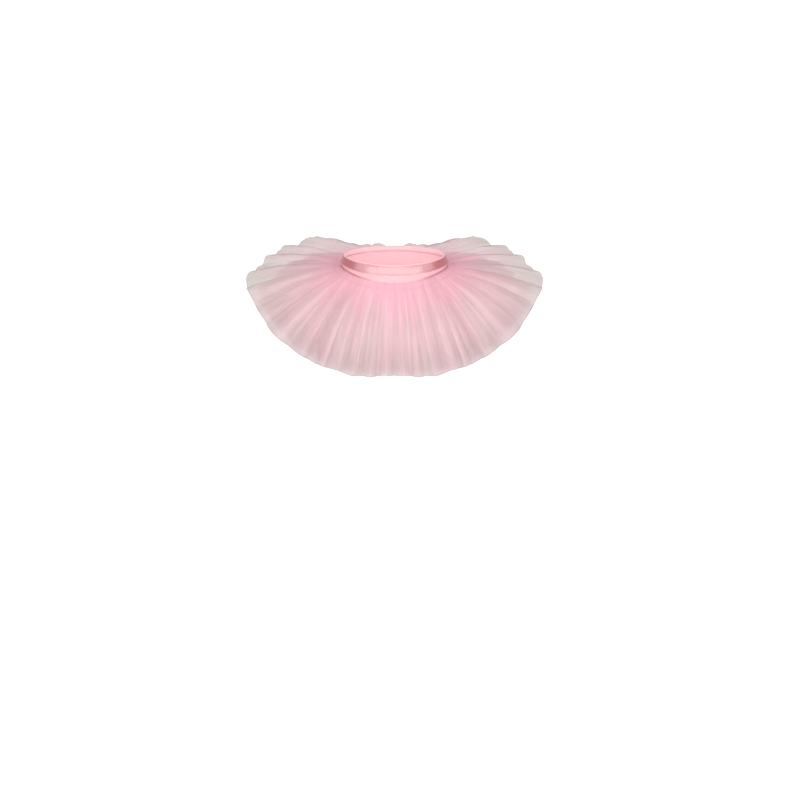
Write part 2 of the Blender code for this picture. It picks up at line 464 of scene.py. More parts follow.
class StageSettings(bpy.types.PropertyGroup):
    """The floor and the lights."""

    floor_colour: bpy.props.FloatVectorProperty(
        name="Floor Colour", description="Colour of the plain floor",
        default=(0.95, 0.95, 0.95), subtype="COLOR", min=0.0, max=1.0)
    floor_drop: bpy.props.FloatProperty(
        name="Floor Drop", description="How far the floor lies below the waistband",
        default=0.80, unit="LENGTH", min=0.2, max=2.0)
    front_light: bpy.props.FloatProperty(
        name="Front Light", description="Power of the front light in watts",
        default=124.0, min=0.0)
    back_light: bpy.props.FloatProperty(
        name="Back Light", description="Power of the soft light behind the skirt in watts",
        default=24.0, min=0.0)
    floor_glow: bpy.props.FloatProperty(
        name="Floor Glow", description="How strongly the floor is lit from under it",
        default=0.37, min=0.0)
    top_light: bpy.props.FloatProperty(
        name="Top Light", description="Strength of the even light from overhead",
        default=0.45, min=0.0)
    room: bpy.props.FloatProperty(
        name="Room", description="Brightness of the white room round the skirt",
        default=0.55, min=0.0)


def blend_rows(rows, value):
    """Reads a table whose first column grows, with smooth slopes through its rows."""
    count = len(rows)
    step = 0
    while step < count - 2 and value > rows[step + 1][0]:
        step += 1
    start, end = rows[step], rows[step + 1]
    before = rows[max(step - 1, 0)]
    after = rows[min(step + 2, count - 1)]
    span = end[0] - start[0]
    share = (value - start[0]) / span
    result = []
    for column in range(1, len(start)):
        slope_in = span * (end[column] - before[column]) / (end[0] - before[0])
        slope_out = span * (after[column] - start[column]) / (after[0] - start[0])
        if step == 0:
            slope_in = 0.0
        if step == count - 2:
            slope_out = 0.0
        square, cube = share**2, share**3
        result.append(
            (2 * cube - 3 * square + 1) * start[column]
            + (cube - 2 * square + share) * slope_in
            + (3 * square - 2 * cube) * end[column]
            + (cube - square) * slope_out
        )
    return result


def place(turn, outset, height):
    """Points at turns, this far out of the waist ellipse and at these heights."""
    across, ahead = np.sin(turn), -np.cos(turn)
    out_x, out_y = WAIST_HALF_DEPTH * across, WAIST_HALF_WIDTH * ahead
    size = np.hypot(out_x, out_y)
    x = WAIST_HALF_WIDTH * across + out_x / size * outset
    y = WAIST_HALF_DEPTH * ahead + out_y / size * outset
    return np.stack(np.broadcast_arrays(x, y, height), axis=-1)


def half_turn(turn):
    """The turn from the centre front, the same on both sides, from 0 to half a turn."""
    return np.abs((turn + math.pi) % FULL_TURN - math.pi)


def even_turns(count):
    """Even turns all round the waist, from the centre back."""
    return np.linspace(-math.pi, math.pi, count, endpoint=False)


def side_rise(turn):
    """How far a turn is on the way up from the centre front to the sides, from 0 to 1."""
    return np.sin(np.minimum(half_turn(turn), math.pi / 2)) ** 2


def band_height(turn, share):
    """The height of the band at a turn, at a share of its width from its lower edge."""
    bottom = BAND_BOTTOM + BAND_BOTTOM_RISE * side_rise(turn)
    top = BAND_TOP + BAND_TOP_RISE * side_rise(turn)
    return bottom + (top - bottom) * share


def band_outset(share):
    """How far the middle of the band's wall stands out of the waist ellipse."""
    return -BAND_WALL / 2 - BAND_DRAWN_IN * share


def band_relief(share):
    """How far the elastic fills the band out, flat in the middle of its width."""
    return BAND_CROWN * (1 - abs(2 * share - 1) ** 4)


def row_height(layer, turn):
    """The height of a layer's row of sewing at a turn."""
    return FIRST_ROW - ROW_SPACING * layer + ROW_RISE * side_rise(turn)


def yoke_bottom(turn):
    """The height of the yoke's lower edge at a turn, below its last row."""
    return row_height(len(NET_LAYERS) - 1, turn) - YOKE_BELOW_ROWS


def yoke_outset(turn, height):
    """How far the middle of the yoke's wall stands out of the waist ellipse."""
    edge = band_height(turn, 0.0)
    width = band_height(turn, 1.0) - edge
    slant = np.hypot(1.0, BAND_DRAWN_IN / width)
    behind_band = (BAND_WALL / 2 + SEAM_GAP + YOKE_WALL / 2) * slant
    drop = (edge - height) / (edge - yoke_bottom(turn))
    tucked = band_outset((height - edge) / width) - behind_band
    spread = band_outset(0.0) - behind_band + YOKE_SPREAD * drop
    return np.where(height >= edge, tucked, spread)


def flute_turn(even_turn, flutes):
    """The turn of a point round a layer, pushed along from its even place."""
    pushed = np.array(even_turn)
    for waves, push, _ in UNEVENNESS:
        pushed = pushed + push * FULL_TURN / flutes * np.sin(waves * even_turn)
    return pushed


def flute_wave(even_turn, flutes, share):
    """How far up or down its flutes a point round a layer is, in shares of their depth."""
    wave = np.cos(flutes * even_turn)
    for waves, _, change in UNEVENNESS:
        wave = wave * (1 + change * share * np.cos(waves * even_turn))
    return wave


def flute_depth(layer, turn):
    """The share of its full depth that a flute has at a turn, the same on both sides."""
    half = half_turn(turn)
    depth = MEAN_FLUTE_DEPTH
    for waves, start, change in FLUTE_DEPTHS:
        depth = depth + change * np.cos(waves * half + start + FLUTE_SHIFT * layer)
    return np.minimum(depth, 1.0)


def fold_height(turn, share):
    """How far the large folds lift the net at a turn, at a share of its length."""
    degrees = np.degrees(half_turn(turn))
    lift = np.zeros_like(degrees)
    for middle, half_width, height in LARGE_FOLDS:
        away = np.minimum(np.abs(degrees - middle) / half_width, 1.0)
        lift = lift + height * np.cos(away * math.pi / 2) ** 2
    return lift * share


def soft_step(start, end, value):
    """Rises softly from 0 at start to 1 at end."""
    share = np.clip((value - start) / (end - start), 0.0, 1.0)
    return share * share * (3 - 2 * share)


def creases(layer, turn, share, reach):
    """How far the creases lift the net, and how much of a ridge or a trough is there."""
    degrees = np.degrees(half_turn(turn)) + CREASE_SHIFT * layer
    around = reach / FULL_TURN
    lift, mark = 0.0, 0.0
    for middle, start, full, half_width, height in CREASES:
        away = np.radians(degrees - middle) * around
        profile = np.exp(-((away / half_width) ** 2) * CREASE_SHARPNESS)
        amount = profile * soft_step(start, full, share)
        lift = lift + amount * height * (1 - CREASE_FADE * layer)
        mark = mark + amount * (1.0 if height > 0 else TROUGH_MARK)
    return lift, mark


def net_sheet(layer, columns, rings, cut_width):
    """The points of a layer's sheet, ring by ring from its row of sewing to its hem, the
    normals of its broad form, and its marks."""
    _, extra_droop, length_share, flutes = NET_LAYERS[layer]
    even = even_turns(columns)
    turn = flute_turn(even, flutes)
    degrees = np.degrees(half_turn(turn))
    stance = np.array([blend_rows(TOP_LAYER_STANCE, value) for value in degrees]).T
    droop = np.radians(stance[0] + extra_droop)
    uneven = sum(size * np.cos((waves + layer) * half_turn(turn)) for waves, size in HEM_WAVES)
    length = stance[1] * length_share * (1 + uneven)
    row = row_height(layer, turn)
    start_angle = droop - NET_BEND / 2
    edge = (NET_WALL / 2 + ROW_FLUTE_DEPTH) * np.abs(np.sin(start_angle))
    clear = YOKE_WALL / 2 + ROW_GAP + edge
    hem_depth = stance[2] * flute_depth(layer, turn)
    foot = yoke_outset(turn, row) + clear
    points, broad, alongs, fulls, marks, flutings = [], [], [], [], [], []
    for share in np.linspace(0.0, 1.0, rings) ** RING_CROWDING:
        angle = start_angle + NET_BEND * share
        reach = length * (np.sin(angle) - np.sin(start_angle)) / NET_BEND
        fall = length * (np.cos(start_angle) - np.cos(angle)) / NET_BEND
        plain = place(turn, foot + reach, row - fall)
        around = float(np.linalg.norm(plain - np.roll(plain, 1, axis=0), axis=1).sum())
        crease, mark = creases(layer, turn, share, around)
        depth = ROW_FLUTE_DEPTH + (hem_depth - ROW_FLUTE_DEPTH) * share
        fold = fold_height(turn, share)
        wave = flute_wave(even, flutes, share)
        lift = wave * depth + fold + crease
        for height, rings_of in ((lift, points), (BROAD_FOLDS * fold, broad)):
            outset = foot + reach + height * np.sin(angle)
            rings_of.append(place(turn, outset, row - fall + height * np.cos(angle)))
        alongs.append(length * share)
        fulls.append(np.full(columns, cut_width / around))
        marks.append(mark)
        flutings.append(wave * depth / hem_depth.max())
    hem = np.array(alongs) - length
    return {
        "points": np.array(points), "broad": grid_normals(np.array(broad)),
        "turn": np.broadcast_to(turn, (rings, columns)), "along": np.array(alongs),
        "fullness": np.array(fulls), "crease": np.array(marks), "flute": np.array(flutings),
        "hem": hem - (FRAY_REACH if layer else 0.0),
        "fray": FRAY[layer] * soft_step(-FRAY_REACH, 0.0, hem),
        "held": np.array(alongs) + (1.0 if layer else 0.0),
        "tone": np.full((rings, columns), LAYER_PAINTED_LIGHT[layer]),
    }


def grid_mesh(name, points, across, along, close_rows=False):
    """A tube of cloth through rings of points, with a UV map in metres. The tube is open
    at its ends, or its last ring meets its first."""
    rows, columns, _ = points.shape
    mesh = bpy.data.meshes.new(name)
    index = np.arange(rows * columns).reshape(rows, columns)
    lower = np.roll(index, -1, axis=0) if close_rows else index[1:]
    here = index if close_rows else index[:-1]
    faces = np.stack([here, lower, np.roll(lower, -1, axis=1), np.roll(here, -1, axis=1)], axis=-1)
    mesh.from_pydata(points.reshape(-1, 3).tolist(), [], faces.reshape(-1, 4).tolist())
    step = np.append(across, across[-1] + (across[1] - across[0]))
    u = np.stack([step[:-1], step[:-1], step[1:], step[1:]], axis=-1)
    u = np.broadcast_to(u, (len(here), columns, 4))
    after = np.roll(along, -1, axis=0) if close_rows else along[1:]
    start = along if close_rows else along[:-1]
    v = np.stack([start, after, np.roll(after, -1, axis=1), np.roll(start, -1, axis=1)], axis=-1)
    layer = mesh.uv_layers.new(name="cloth")
    layer.data.foreach_set("uv", np.stack([u, v], axis=-1).astype(np.float32).ravel())
    mesh.shade_smooth()
    mesh.update()
    return mesh


def grid_normals(points):
    """The normals of a tube of cloth through rings of points."""
    around = np.roll(points, -1, axis=1) - np.roll(points, 1, axis=1)
    normals = np.cross(np.gradient(points, axis=0), around)
    return normals / np.linalg.norm(normals, axis=2, keepdims=True)


def soften_shading(mesh, broad):
    """Threads of net catch light from all round, so a fold's shading keeps only a part of
    its own tilt, and takes the rest from the broad form."""
    own = np.zeros(len(mesh.vertices) * 3, np.float32)
    mesh.vertex_normals.foreach_get("vector", own)
    mixed = own.reshape(-1, 3) * (1 - BROAD_SHADING) + broad.reshape(-1, 3) * BROAD_SHADING
    mixed /= np.linalg.norm(mixed, axis=1, keepdims=True)
    mesh.normals_split_custom_set_from_vertices(mixed.tolist())


def store(mesh, name, values):
    """Keeps a number at each point of a mesh, for its material and its node tree."""
    attribute = mesh.attributes.new(name, "FLOAT", "POINT")
    attribute.data.foreach_set("value", np.ascontiguousarray(values, np.float32).ravel())


def add_object(name, mesh):
    """An object at the origin that holds the mesh."""
    piece = bpy.data.objects.new(name, mesh)
    bpy.context.scene.collection.objects.link(piece)
    return piece


class Nodes:
    """Adds nodes to a tree and links them."""

    def __init__(self, tree):
        self.tree = tree

    def add(self, kind, *inputs, **settings):
        """A node of this kind. Its inputs are given in order: a socket is linked, a value
        is set, and None is left as it is. Returns its first output that is in use."""
        node = self.tree.nodes.new(kind)
        for name, value in settings.items():
            setattr(node, name, value)
        sockets = [socket for socket in node.inputs if socket.enabled]
        for socket, value in zip(sockets, inputs):
            self.feed(socket, value)
        outputs = [socket for socket in node.outputs if socket.enabled]
        return outputs[0] if outputs else node

    def feed(self, socket, value):
        """Links or sets one input."""
        if isinstance(value, bpy.types.NodeSocket):
            self.tree.links.new(value, socket)
        elif value is not None:
            socket.default_value = value

    def math(self, operation, *inputs):
        """A Math node."""
        return self.add("ShaderNodeMath", *inputs, operation=operation)

    def vector(self, operation, *inputs):
        """A Vector Math node."""
        return self.add("ShaderNodeVectorMath", *inputs, operation=operation)

    def scaled(self, value, factor, base):
        """The value times the factor, added to the base."""
        return self.math("MULTIPLY_ADD", value, factor, base)

    def range(self, value, low, high, new_low=0.0, new_high=1.0, kind="SMOOTHSTEP"):
        """A Map Range node."""
        return self.add("ShaderNodeMapRange", value, low, high, new_low, new_high,
                        interpolation_type=kind)

    def noise(self, spot, scale, detail=1.0, roughness=0.5):
        """A Noise Texture node's value."""
        return self.add("ShaderNodeTexNoise", spot, scale, detail, roughness)

    def mix(self, kind, factor, first, second):
        """A Mix node, for colours or for vectors."""
        node = self.tree.nodes.new("ShaderNodeMix")
        node.data_type = kind
        start, end, out = {"VECTOR": (4, 5, 1), "RGBA": (6, 7, 2)}[kind]
        for index, value in ((0, factor), (start, first), (end, second)):
            self.feed(node.inputs[index], value)
        return node.outputs[out]


def node_group(name, kind, inputs, outputs):
    """An empty node group with inputs and outputs of these names and kinds. Returns it with
    its input node's outputs and its output node's inputs by name."""
    tree = bpy.data.node_groups.new(name, kind)
    for side, sockets in (("INPUT", inputs), ("OUTPUT", outputs)):
        for label, value_kind in sockets.items():
            tree.interface.new_socket(
                name=label, in_out=side, socket_type=f"NodeSocket{value_kind}")
    start = tree.nodes.new("NodeGroupInput")
    end = tree.nodes.new("NodeGroupOutput")
    return tree, start.outputs, end.inputs


def use_group(nodes, tree, **values):
    """Places a shader node group and sets its inputs by name. Returns its outputs."""
    node = nodes.tree.nodes.new("ShaderNodeGroup")
    node.node_tree = tree
    for name, value in values.items():
        nodes.feed(node.inputs[name], value)
    return node.outputs


def named_attribute(nodes, name):
    """The value that a mesh keeps under this name, in a geometry node tree."""
    return nodes.add("GeometryNodeInputNamedAttribute", name, data_type="FLOAT")


def gather_tree():
    """Lifts a sheet of net into small uneven gathers, held nearly flat above a row of
    sewing. The sheet gives each point's turn and how far along the net it is."""
    tree, given, made = node_group(
        "gathered_net", "GeometryNodeTree",
        {"Net": "Geometry", "Gathers": "Float", "Depth At The Row": "Float",
         "Depth At The Hem": "Float", "Held Down To": "Float", "Unevenness": "Float",
         "Seed": "Float", "Material": "Material"},
        {"Net": "Geometry"})
    nodes = Nodes(tree)
    turn = named_attribute(nodes, "turn")
    along = named_attribute(nodes, "along")
    cosine, sine = nodes.math("COSINE", turn), nodes.math("SINE", turn)
    down = nodes.scaled(along, GATHER_DRIFT, given["Seed"])
    circle = nodes.add("ShaderNodeCombineXYZ", cosine, sine, down)
    drift = nodes.math("SUBTRACT", nodes.noise(circle, PUSH_SCALE), 0.5)
    pushed = nodes.scaled(drift, given["Unevenness"], turn)
    phase = nodes.math("MULTIPLY", pushed, given["Gathers"])
    ridge = nodes.math("SINE", nodes.math("MULTIPLY", phase, 0.5))
    ridge = nodes.math("SQRT", nodes.scaled(ridge, ridge, RIDGE_ROUND))
    ridge = nodes.scaled(ridge, *RIDGE_SHAPE)
    strength, fine_strength = (
        nodes.range(nodes.noise(circle, scale), *GATHER_NOISE, *strengths)
        for scale, strengths in ((STRENGTH_SCALE, GATHER_STRENGTH), (FINE_SCALE, FINE_STRENGTH)))
    fine = nodes.math("COSINE", nodes.math("MULTIPLY", phase, FINER_GATHERS))
    height = nodes.scaled(fine, fine_strength, nodes.math("MULTIPLY", ridge, strength))
    free_at = nodes.math("ADD", given["Held Down To"], FREED_OVER)
    freed = nodes.range(along, given["Held Down To"], free_at)
    depth = nodes.range(freed, 0.0, 1.0, given["Depth At The Row"], given["Depth At The Hem"],
                        kind="LINEAR")
    lift = nodes.math("MULTIPLY", height, depth)
    offset = nodes.vector("SCALE", nodes.add("GeometryNodeInputNormal"), lift)
    moved = nodes.add("GeometryNodeSetPosition", given["Net"], None, None, offset)
    kept = nodes.add("GeometryNodeStoreNamedAttribute", moved, None, "gather", height,
                     data_type="FLOAT", domain="POINT")
    real = nodes.add("GeometryNodeRealizeInstances", kept)
    nodes.feed(made["Net"], nodes.add("GeometryNodeSetMaterial", real, None, given["Material"]))
    return tree


def stitch_tree():
    """Lays short stitches end to end along lines of sewing."""
    tree, given, made = node_group(
        "row_of_stitches", "GeometryNodeTree",
        {"Lines": "Geometry", "Stitch": "Float", "Spacing": "Float", "Thread": "Float",
         "Slant": "Float", "Seed": "Int", "Material": "Material"},
        {"Stitches": "Geometry"})
    nodes = Nodes(tree)
    line = nodes.add("GeometryNodeMeshToCurve", given["Lines"])
    even = tree.nodes.new("GeometryNodeResampleCurve")
    even.mode = "LENGTH"
    nodes.feed(even.inputs["Curve"], line)
    nodes.feed(even.inputs["Length"], given["Spacing"])
    ball = nodes.add("GeometryNodeMeshUVSphere", STITCH_SIDES, STITCH_RINGS, 0.5)
    size = nodes.add("ShaderNodeCombineXYZ", given["Stitch"], given["Thread"], given["Thread"])
    stitch = nodes.add("GeometryNodeTransform", ball, None, None, size)
    facing = nodes.add("FunctionNodeAlignRotationToVector", None, None,
                       nodes.add("GeometryNodeInputTangent"), axis="X")
    low = nodes.math("MULTIPLY", given["Slant"], -1.0)
    swing = tree.nodes.new("FunctionNodeRandomValue")
    swing.data_type = "FLOAT"
    for label, value in (("Min", low), ("Max", given["Slant"]), ("Seed", given["Seed"])):
        socket = next(s for s in swing.inputs if s.name == label and s.enabled)
        nodes.feed(socket, value)
    swung = next(s for s in swing.outputs if s.enabled)
    twist = nodes.add("ShaderNodeCombineXYZ", 0.0, 0.0, swung)
    turned = tree.nodes.new("FunctionNodeRotateRotation")
    turned.rotation_space = "LOCAL"
    nodes.feed(turned.inputs[0], facing)
    nodes.feed(turned.inputs[1], nodes.add("FunctionNodeEulerToRotation", twist))
    laid = tree.nodes.new("GeometryNodeInstanceOnPoints")
    nodes.feed(laid.inputs["Points"], even.outputs[0])
    nodes.feed(laid.inputs["Instance"], stitch)
    nodes.feed(laid.inputs["Rotation"], turned.outputs[0])
    real = nodes.add("GeometryNodeRealizeInstances", laid.outputs[0])
    smooth = nodes.add("GeometryNodeSetShadeSmooth", real)
    dyed = nodes.add("GeometryNodeSetMaterial", smooth, None, given["Material"])
    nodes.feed(made["Stitches"], dyed)
    return tree


def shape_with(piece, tree, **values):
    """Puts a piece through a node tree with these inputs, and keeps the plain mesh that
    comes out of it."""
    modifier = piece.modifiers.new(tree.name, "NODES")
    modifier.node_group = tree
    for socket in tree.interface.items_tree:
        key = socket.name.replace(" ", "_").lower()
        if socket.in_out == "INPUT" and key in values:
            modifier[socket.identifier] = values[key]
    bpy.context.view_layer.update()
    graph = bpy.context.evaluated_depsgraph_get()
    plain = bpy.data.meshes.new_from_object(
        piece.evaluated_get(graph), preserve_all_data_layers=True, depsgraph=graph)
    rough = piece.data
    piece.modifiers.clear()
    piece.data = plain
    bpy.data.meshes.remove(rough)
    plain.name = piece.name
    return piece


def new_material(name):
    """A material with its node helper and its shader's inputs."""
    material = bpy.data.materials.new(name)
    material.use_nodes = True
    shader = material.node_tree.nodes["Principled BSDF"]
    return material, Nodes(material.node_tree), shader.inputs


def hex_net_group():
    """The threads of a six-sided net: 1 on a thread and 0 in a hole."""
    tree, given, made = node_group(
        "hex_net", "ShaderNodeTree",
        {"Cloth": "Vector", "Cell": "Float", "Thread": "Float"}, {"Threads": "Float"})
    nodes = Nodes(tree)
    step = (1.0, math.sqrt(3.0), 1.0)
    half = tuple(size / 2 for size in step)
    under = tuple(-size for size in half)
    scaled = nodes.vector("SCALE", given["Cloth"], nodes.math("DIVIDE", 1.0, given["Cell"]))
    even = nodes.vector("WRAP", scaled, half, under)
    odd = nodes.vector("WRAP", nodes.vector("SUBTRACT", scaled, half), half, under)
    lengths = []
    for cell in (even, odd):
        flat = nodes.vector("MULTIPLY", cell, (1.0, 1.0, 0.0))
        lengths.append(nodes.vector("DOT_PRODUCT", flat, flat))
    nearer = nodes.math("GREATER_THAN", *lengths)
    corner = nodes.vector("ABSOLUTE", nodes.mix("VECTOR", nearer, even, odd))
    slanted = nodes.vector("DOT_PRODUCT", corner, (0.5, math.sqrt(3.0) / 2, 0.0))
    upright = nodes.vector("DOT_PRODUCT", corner, (1.0, 0.0, 0.0))
    edge = nodes.math("MAXIMUM", slanted, upright)
    start = nodes.math("SUBTRACT", 0.5, given["Thread"])
    nodes.feed(made["Threads"], nodes.range(edge, start, 0.5))
    return tree


def cloth_tone_group():
    """Uneven dye: a colour made a little lighter and darker in soft patches."""
    tree, given, made = node_group(
        "cloth_tone", "ShaderNodeTree",
        {"Place": "Vector", "Colour": "Color", "Patches": "Float", "Amount": "Float"},
        {"Colour": "Color", "Mask": "Float"})
    nodes = Nodes(tree)
    noise = nodes.noise(given["Place"], given["Patches"], *DYE_DETAIL)
    factor = nodes.scaled(nodes.scaled(noise, 2.0, -1.0), given["Amount"], 1.0)
    nodes.feed(made["Colour"], nodes.vector("SCALE", given["Colour"], factor))
    nodes.feed(made["Mask"], noise)
    return tree


def streaks_group():
    """Fine uneven streaks down the gathered net, from about -0.4 to 0.4."""
    tree, given, made = node_group(
        "gather_streaks", "ShaderNodeTree",
        {"Cloth": "Vector", "Width": "Float", "Length": "Float"}, {"Streaks": "Float"})
    nodes = Nodes(tree)
    size = nodes.add("ShaderNodeCombineXYZ", given["Width"], given["Length"], 1.0)
    stretched = nodes.vector("DIVIDE", given["Cloth"], size)
    noise = nodes.noise(stretched, 1.0, *STREAK_DETAIL)
    nodes.feed(made["Streaks"], nodes.scaled(noise, 2.0, -1.0))
    return tree


def fine_weave_group():
    """The height of a fine weave: threads across and along the cloth."""
    tree, given, made = node_group(
        "fine_weave", "ShaderNodeTree",
        {"Cloth": "Vector", "Across": "Float", "Along": "Float"}, {"Height": "Float"})
    nodes = Nodes(tree)
    parts = nodes.tree.nodes.new("ShaderNodeSeparateXYZ")
    nodes.feed(parts.inputs[0], given["Cloth"])
    waves = []
    for output, size in ((0, given["Across"]), (1, given["Along"])):
        turns = nodes.math("DIVIDE", parts.outputs[output], size)
        waves.append(nodes.math("SINE", nodes.math("MULTIPLY", turns, FULL_TURN)))
    crossed = nodes.math("MULTIPLY", waves[0], waves[1])
    height = nodes.scaled(waves[1], RIB_SHARE, crossed)
    nodes.feed(made["Height"], height)
    return tree


def attribute(nodes, name):
    """A number kept in the mesh, in a material."""
    node = nodes.tree.nodes.new("ShaderNodeAttribute")
    node.attribute_name = name
    return node.outputs["Fac"]


def cloth_place(nodes):
    """A point's place on the flat cloth, in metres."""
    return nodes.add("ShaderNodeUVMap", uv_map="cloth")


def object_place(nodes):
    """A point's place in its object, in metres."""
    return nodes.tree.nodes.new("ShaderNodeTexCoord").outputs["Object"]


def bump(nodes, shader, height, distance):
    """Feeds a height to the shader's normal."""
    node = nodes.tree.nodes.new("ShaderNodeBump")
    node.inputs["Distance"].default_value = distance
    nodes.feed(node.inputs["Height"], height)
    nodes.feed(shader["Normal"], node.outputs[0])


def dyed(nodes, groups, finish, colour):
    """A cloth's colour with its uneven dye, and the roughness that goes with it."""
    patches, amount, smooth, rough = FINISHES[finish]
    tone = use_group(nodes, groups["tone"], Place=object_place(nodes), Colour=colour,
                     Patches=patches, Amount=amount)
    return tone["Colour"], nodes.range(tone["Mask"], *NOISE_SPAN, smooth, rough)


def woven(nodes, groups, finish, shader):
    """Feeds a cloth's fine weave to the shader's normal."""
    across, along, height = WEAVES[finish]
    weave = use_group(
        nodes, groups["weave"], Cloth=cloth_place(nodes), Across=across, Along=along)
    bump(nodes, shader, weave["Height"], height)


def satin_material(settings, groups):
    """Satin over elastic: smooth and shiny outside, matt on its lining and at its folded edges,
    where the lining's pale colour is a painted highlight.
    """
    material, nodes, shader = new_material("pink_satin")
    inside = attribute(nodes, "inside")
    colour, rough = dyed(nodes, groups, "satin", (*settings.satin_colour, 1.0))
    # The lining's colour, also painted on the folded edges as a highlight.
    lining = (*settings.strip_colour, 1.0)
    nodes.feed(shader["Base Color"], nodes.mix("RGBA", inside, colour, lining))
    nodes.feed(shader["Roughness"], nodes.scaled(inside, LINING_ROUGHER, rough))
    woven(nodes, groups, "satin", shader)
    shader["IOR"].default_value = SATIN_IOR
    return material


def strip_material(settings, groups):
    """The matt cloth of the yoke, with painted shade deep in its seam with the net."""
    material, nodes, shader = new_material("matt_strip")
    colour, rough = dyed(nodes, groups, "strip", (*settings.strip_colour, 1.0))
    deep = (*settings.seam_colour, 1.0)
    shaded = nodes.mix("RGBA", attribute(nodes, "seam"), colour, deep)
    nodes.feed(shader["Base Color"], shaded)
    nodes.feed(shader["Roughness"], rough)
    woven(nodes, groups, "strip", shader)
    return material


def thread_material(settings, groups):
    """Sewing thread."""
    material, nodes, shader = new_material("sewing_thread")
    colour, rough = dyed(nodes, groups, "thread", (*settings.thread_colour, 1.0))
    nodes.feed(shader["Base Color"], colour)
    nodes.feed(shader["Roughness"], rough)
    return material


def net_colours(settings, nodes):
    """The net's colours from its root to its hem: the input and the output of a ramp."""
    ramp = nodes.tree.nodes.new("ShaderNodeValToRGB")
    ramp.color_ramp.interpolation = "EASE"
    stops = ramp.color_ramp.elements
    stops[0].position, stops[0].color = PINKEST_TO, (*settings.root_colour, 1.0)
    stops[1].position, stops[1].color = 1.0, (*settings.hem_colour, 1.0)
    stops.new(HALFWAY).color = (*settings.middle_colour, 1.0)
    return ramp.inputs[0], ramp.outputs[0]


def net_material(settings, groups):
    """Stiff net: sheer threads, denser and pinker where it is gathered at the waist."""
    material, nodes, shader = new_material("pink_net")
    cloth = cloth_place(nodes)
    marks = {name: attribute(nodes, name) for name in (*NET_MARKS, "gather")}
    reached = nodes.math("DIVIDE", marks["along"], NET_REACH)

    streaks, broad = (
        use_group(nodes, groups["streaks"], Cloth=cloth, Width=STREAK_WIDTH * wider,
                  Length=STREAK_LENGTH)["Streaks"]
        for wider in (1, BROAD_STREAKS))
    fine_share, broad_share = PINK_UNEVENNESS
    uneven = nodes.scaled(streaks, fine_share, nodes.math("MULTIPLY", broad, broad_share))
    swing = nodes.math("MULTIPLY", uneven, nodes.range(reached, *UNEVEN_FROM))
    ahead = nodes.range(nodes.math("COSINE", marks["turn"]), *FRONT_TURN)
    ahead = nodes.math("MULTIPLY", ahead, nodes.range(reached, *FRONT_REACH))
    swing = nodes.scaled(ahead, FRONT_PINK, swing)
    how_pale, pink = net_colours(settings, nodes)
    nodes.feed(how_pale, nodes.math("ADD", reached, swing))
    colour, rough = dyed(nodes, groups, "net", pink)

    faded = nodes.range(marks["along"], *STREAKS_FROM, STREAKS_AT_ROW, 1.0)
    streaks = nodes.math("MULTIPLY", streaks, faded)
    from_row = nodes.math("ABSOLUTE", nodes.math("SUBTRACT", marks["held"], HOLD_ROW))
    edge = nodes.range(marks["hem"], -HEM_EDGE, 0.0)
    # Painted light and shade: each layer's lightening, kept as its tone mark, the ridges and
    # troughs of the gathers, creases and flutes, and the line along the second row of sewing.
    light = marks["tone"]
    for mark, change in (
        (marks["gather"], GATHER_LIGHT_AND_SHADE), (marks["crease"], CREASE_LIGHT_AND_SHADE),
        (marks["flute"], FLUTE_LIGHT_AND_SHADE), (ahead, FRONT_TONE), (streaks, STREAK_TONE),
        (nodes.range(from_row, *HOLD_SHADE_LINE), HOLD_ROW_SHADE), (edge, HEM_TONE),
    ):
        light = nodes.scaled(mark, change, light)
    nodes.feed(shader["Base Color"], nodes.vector("SCALE", colour, light))

    threads = use_group(
        nodes, groups["net"], Cloth=cloth, Cell=settings.cell, Thread=NET_THREAD)["Threads"]
    contrast = nodes.math("SUBTRACT", threads, MEAN_THREADS)
    denser = nodes.range(reached, *DENSER_FROM)
    cover = settings.cover
    for mark, change in (
        (contrast, THREAD_CONTRAST), (streaks, STREAK_COVER), (denser, HEM_DENSER),
        (edge, HEM_COVER),
    ):
        cover = nodes.scaled(mark, change, cover)
    cover = nodes.math("MULTIPLY", cover, nodes.math("SUBTRACT", 1.0, marks["fray"]))
    cover = nodes.math("MINIMUM", cover, MOST_COVER)
    creased = nodes.scaled(marks["crease"], CREASE_COVER, 1.0)
    layers = nodes.math("MULTIPLY", marks["fullness"], creased)
    sheer = nodes.math("POWER", nodes.math("SUBTRACT", 1.0, cover), layers)
    shadow_ray = nodes.tree.nodes.new("ShaderNodeLightPath").outputs["Is Shadow Ray"]
    blocked = nodes.scaled(shadow_ray, -LIGHT_PASSED_ON, 1.0)
    solid = nodes.math("SUBTRACT", 1.0, sheer)
    nodes.feed(shader["Alpha"], nodes.math("MULTIPLY", solid, blocked))
    nodes.feed(shader["Roughness"], rough)
    bump(nodes, shader, threads, NET_THREAD_HEIGHT)
    shader["Specular IOR Level"].default_value = NET_SHINE
    return material


def edge_profile(steps, round_steps, reach):
    """The closed outline of a strip of cloth seen from its cut end: shares of its width from its
    lower edge, and sides from 1 on its outer face to -1 on its inner face. Both its edges are
    round, and reach is half its wall in shares of its width."""
    side = np.linspace(reach, 1 - reach, steps)
    bow = np.linspace(0, math.pi, round_steps + 2)[1:-1]
    round_edge = reach * np.sin(bow)
    shares = np.concatenate([side[::-1], reach - round_edge, side, 1 - reach + round_edge])
    sides = np.concatenate([np.ones(steps), np.cos(bow), -np.ones(steps), -np.cos(bow)])
    return shares, sides


def bell(value, middle, width):
    """A soft hump of height 1."""
    return np.exp(-(((value - middle) / width) ** 2))


def lap_lift(turn):
    """How far the lap at the centre back lifts the band's outer side."""
    away = (math.pi - half_turn(turn)) * WAIST_HALF_WIDTH
    return LAP_THICKNESS * soft_step(LAP_HALF_WIDTH + LAP_STEP, LAP_HALF_WIDTH, away)


